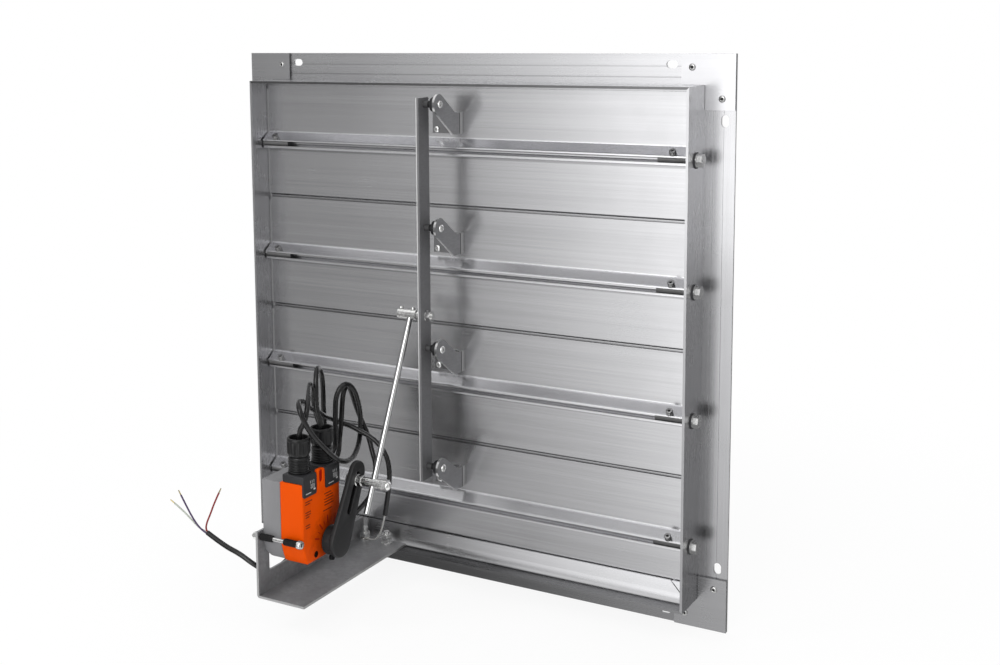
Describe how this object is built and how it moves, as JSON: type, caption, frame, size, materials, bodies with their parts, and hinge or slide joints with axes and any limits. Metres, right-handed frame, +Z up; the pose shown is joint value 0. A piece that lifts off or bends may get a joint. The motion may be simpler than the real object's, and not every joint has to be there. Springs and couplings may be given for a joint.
{
  "type": "motorised fan shutter",
  "caption": "Square aluminium fan shutter with a slotted wall flange, linked horizontal blades, and a geared motor actuator on a side bracket that turns them through a crank and rod.",
  "frame": {"origin": "centre of the flange's back face, which is also the centre of the flange's slot pattern", "axes": "+X to the right and +Z up for someone in the fan room; +Y into the wall, through the flange's back face"},
  "size_m": [0.6876, 0.268, 0.6876],
  "materials": {
    "frame_metal": "satin mill finish",
    "blade_metal": "satin extruded",
    "plate_metal": "satin",
    "rivet_metal": "satin",
    "bracket_metal": "satin",
    "bar_metal": "satin",
    "zinc_steel": "bright zinc",
    "rod_steel": "polished",
    "black_nylon": "matte",
    "arm_plastic": "satin moulded",
    "orange_plastic": "satin moulded",
    "grey_plastic": "satin moulded",
    "cap_plastic": "satin moulded",
    "cable_black": "matte",
    "wire_red": "matte",
    "wire_violet": "matte",
    "wire_white": "matte",
    "copper_tip": "bare",
    "gear_white": "matte",
    "board_green": "satin",
    "spring_steel": "oiled",
    "motor_steel": "satin"
  },
  "bodies": {
    "frame": {"frame_top": "frame_metal", "frame_bottom": "frame_metal", "frame_left": "frame_metal", "frame_right": "frame_metal", "corner_plates": "plate_metal", "corner_rivets": "rivet_metal", "axle_bushes": "black_nylon", "motor": "motor_steel", "gear_plates": "zinc_steel", "return_spring": "spring_steel", "limit_switches": "black_nylon", "circuit_board": "board_green", "actuator_base": "grey_plastic", "actuator_cover": "orange_plastic", "terminal_caps": "cap_plastic", "gland_bodies": "black_nylon", "gland_nuts": "black_nylon", "cover_screws": "zinc_steel", "actuator_bracket": "bracket_metal", "bracket_bolts": "zinc_steel", "retaining_bolt": "zinc_steel", "retaining_sleeves": "zinc_steel", "cable_near": "cable_black", "cable_supply": "cable_black", "earth_wire": "wire_white", "wire_tips": "copper_tip", "wire_red": "wire_red", "wire_violet": "wire_violet", "wire_white": "wire_white"},
    "tie_bar": {"tie_bar": "bar_metal", "pivot_pins": "zinc_steel", "pivot_spacers": "black_nylon", "rod_stud": "zinc_steel", "stud_nut": "zinc_steel"},
    "drive_rod": {"drive_rod": "rod_steel", "upper_swivel": "zinc_steel", "lower_swivel": "zinc_steel", "swivel_fasteners": "zinc_steel"},
    "crank_arm": {"crank_arm": "arm_plastic", "crank_stud": "zinc_steel", "crank_nuts": "zinc_steel", "output_shaft": "zinc_steel", "output_gear": "gear_white"},
    "idler_gear": {"idler_gear": "gear_white"},
    "motor_pinion": {"motor_pinion": "gear_white", "motor_spindle": "zinc_steel"},
    "blade_1": {"blade_1": "blade_metal", "blade_fasteners_1": "zinc_steel", "crank_bracket_1": "bracket_metal"},
    "blade_2": {"blade_2": "blade_metal", "blade_fasteners_2": "zinc_steel", "crank_bracket_2": "bracket_metal"},
    "blade_3": {"blade_3": "blade_metal", "blade_fasteners_3": "zinc_steel", "crank_bracket_3": "bracket_metal"},
    "blade_4": {"blade_4": "blade_metal", "blade_fasteners_4": "zinc_steel", "crank_bracket_4": "bracket_metal"}
  },
  "joints": [
    {"name": "blade_1_pivot", "type": "hinge", "parent": "frame", "child": "blade_1", "pos_m": [0, -0.032, 0.2236], "axis": [1, 0, 0], "range_deg": [0, 58], "stiffness_Nm_per_rad": 1.2, "springref_deg": -40.11},
    {"name": "blade_2_pivot", "type": "hinge", "parent": "frame", "child": "blade_2", "pos_m": [0, -0.032, 0.0712], "axis": [1, 0, 0], "range_deg": [0, 58.05]},
    {"name": "blade_3_pivot", "type": "hinge", "parent": "frame", "child": "blade_3", "pos_m": [0, -0.032, -0.0812], "axis": [1, 0, 0], "range_deg": [0, 58.05]},
    {"name": "blade_4_pivot", "type": "hinge", "parent": "frame", "child": "blade_4", "pos_m": [0, -0.032, -0.2336], "axis": [1, 0, 0], "range_deg": [0, 58.05]},
    {"name": "tie_bar_pivot", "type": "hinge", "parent": "blade_1", "child": "tie_bar", "pos_m": [-0.0035, -0.079, 0.2836], "axis": [1, 0, 0], "range_deg": [-58.05, 0]},
    {"name": "upper_swivel_pivot", "type": "hinge", "parent": "tie_bar", "child": "drive_rod", "pos_m": [-0.046, -0.079, 0.0198], "axis": [1, 0, 0], "range_deg": [0, 18.91]},
    {"name": "crank_arm_pivot", "type": "hinge", "parent": "frame", "child": "crank_arm", "pos_m": [-0.1, -0.205, -0.24], "axis": [1, 0, 0], "range_deg": [-78.59, 0]},
    {"name": "idler_pivot", "type": "hinge", "parent": "frame", "child": "idler_gear", "pos_m": [-0.112, -0.205, -0.21985], "axis": [1, 0, 0], "range_deg": [0, 183.32]},
    {"name": "motor_pivot", "type": "hinge", "parent": "frame", "child": "motor_pinion", "pos_m": [-0.118, -0.22072, -0.21077], "axis": [1, 0, 0], "range_deg": [-476.55, 0]}
  ],
  "couplings": [
    {"joint": "blade_2_pivot", "follows": "blade_1_pivot", "ratio": 1},
    {"joint": "blade_3_pivot", "follows": "blade_1_pivot", "ratio": 1},
    {"joint": "blade_4_pivot", "follows": "blade_1_pivot", "ratio": 1},
    {"joint": "tie_bar_pivot", "follows": "blade_1_pivot", "ratio": -1},
    {"joint": "upper_swivel_pivot", "follows": "blade_1_pivot", "ratio": 0.3252},
    {"joint": "crank_arm_pivot", "follows": "blade_1_pivot", "ratio": -1.3542},
    {"joint": "idler_pivot", "follows": "blade_1_pivot", "ratio": 3.1598},
    {"joint": "motor_pivot", "follows": "blade_1_pivot", "ratio": -8.2155}
  ]
}
